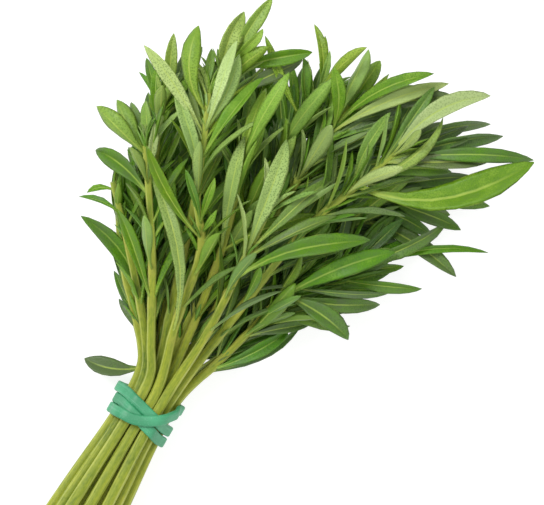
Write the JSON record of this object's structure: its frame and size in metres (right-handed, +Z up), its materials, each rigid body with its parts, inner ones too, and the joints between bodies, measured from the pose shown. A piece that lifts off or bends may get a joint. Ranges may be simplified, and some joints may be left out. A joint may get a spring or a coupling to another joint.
{
  "type": "savory bunch",
  "caption": "Cut bunch of fresh savory, leafy square stems held below the leaves by a wound rubber band, lying on its side.",
  "frame": {"origin": "centre of the bounding box at the height of the surface that the bunch lies on", "axes": "+X along the bunch from the cut ends to the leaf tips, +Y to the left of that, +Z up from the surface"},
  "size_m": [0.165, 0.1032, 0.043],
  "materials": {
    "savory_green_a": "satin fresh leaf and stem",
    "savory_green_b": "satin fresh leaf and stem",
    "savory_green_c": "satin fresh leaf and stem",
    "savory_green_d": "satin fresh leaf and stem",
    "band_teal": "satin rubber"
  },
  "bodies": {
    "root": {"sprig_01": "savory_green_a", "sprig_02": "savory_green_b", "sprig_03": "savory_green_c", "sprig_04": "savory_green_d", "sprig_05": "savory_green_a", "sprig_06": "savory_green_b", "sprig_07": "savory_green_c", "sprig_08": "savory_green_d", "sprig_09": "savory_green_a", "sprig_10": "savory_green_b", "sprig_11": "savory_green_c", "sprig_12": "savory_green_d", "sprig_13": "savory_green_a", "sprig_14": "savory_green_b", "sprig_15": "savory_green_c", "sprig_16": "savory_green_d", "sprig_17": "savory_green_a", "sprig_18": "savory_green_b", "sprig_19": "savory_green_c", "rubber_band": "band_teal"}
  },
  "joints": []
}
